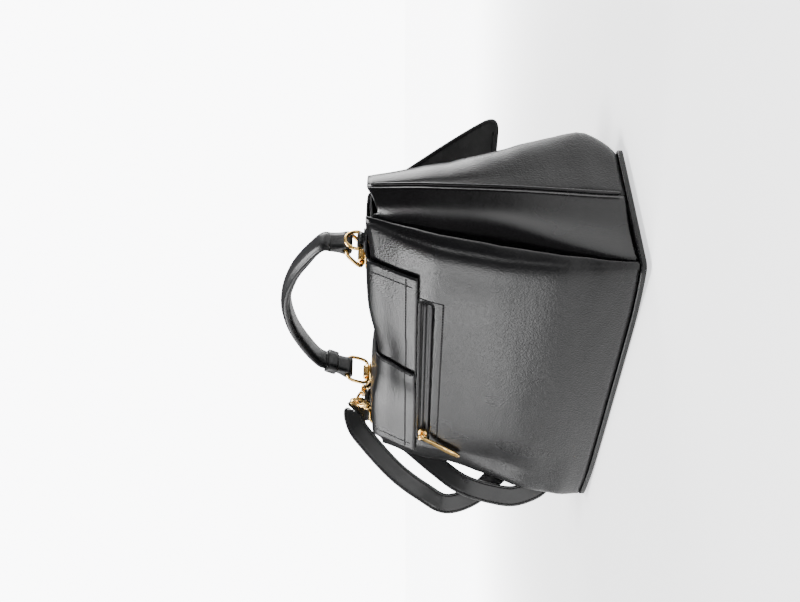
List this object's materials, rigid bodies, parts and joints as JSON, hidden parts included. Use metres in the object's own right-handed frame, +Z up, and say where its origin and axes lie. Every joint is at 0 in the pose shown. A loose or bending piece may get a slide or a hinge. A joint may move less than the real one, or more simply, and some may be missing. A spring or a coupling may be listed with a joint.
{
  "type": "handbag",
  "caption": "Soft flap handbag with folded side gussets, a rear zip pocket, a padded top handle on rings and a long clip-on shoulder strap.",
  "frame": {"origin": "the middle of the base, on the floor", "axes": "+X to the end with the strap, +Y to the back with the zip, +Z up"},
  "size_m": [0.3894, 0.2056, 0.2859],
  "materials": {
    "leather": "semi-gloss",
    "metal": "polished",
    "cloth": "matte"
  },
  "bodies": {
    "root": {"back_panel": "leather", "gusset_near": "leather", "gusset_far": "leather", "front_panel": "leather", "piping_near": "leather", "piping_far": "leather", "base_panel": "leather", "base_welt": "leather", "flap_near_half": "leather", "flap_far_half": "leather", "flap_snap": "metal", "zip_tape": "cloth", "zip_slider": "metal", "handle_bracket_near": "metal", "handle_bracket_far": "metal", "handle_ring_near": "metal", "handle_ring_far": "metal", "handle_tab_near": "leather", "handle_tab_far": "leather", "handle_keeper": "leather", "handle": "leather", "d_ring_tab_near": "leather", "d_ring_tab_far": "leather", "d_ring_near": "metal", "d_ring_far": "metal", "clasp_hook": "metal", "clasp_loop": "metal", "second_clasp": "metal", "shoulder_strap": "leather", "strap_slider": "metal"},
    "pull": {"zip_pull": "metal"},
    "gate": {"clasp_gate": "metal"}
  },
  "joints": [
    {"name": "pull_hinge", "type": "hinge", "parent": "root", "child": "pull", "pos_m": [0.088, 0.04576, 0.16192], "axis": [0.8139, -0.2225, 0.5368], "range_deg": [0, 110]},
    {"name": "gate_hinge", "type": "hinge", "parent": "root", "child": "gate", "pos_m": [0.12971, -0.01899, 0.22438], "axis": [0.2955, 0.9553, 0], "range_deg": [-25, 0]}
  ]
}
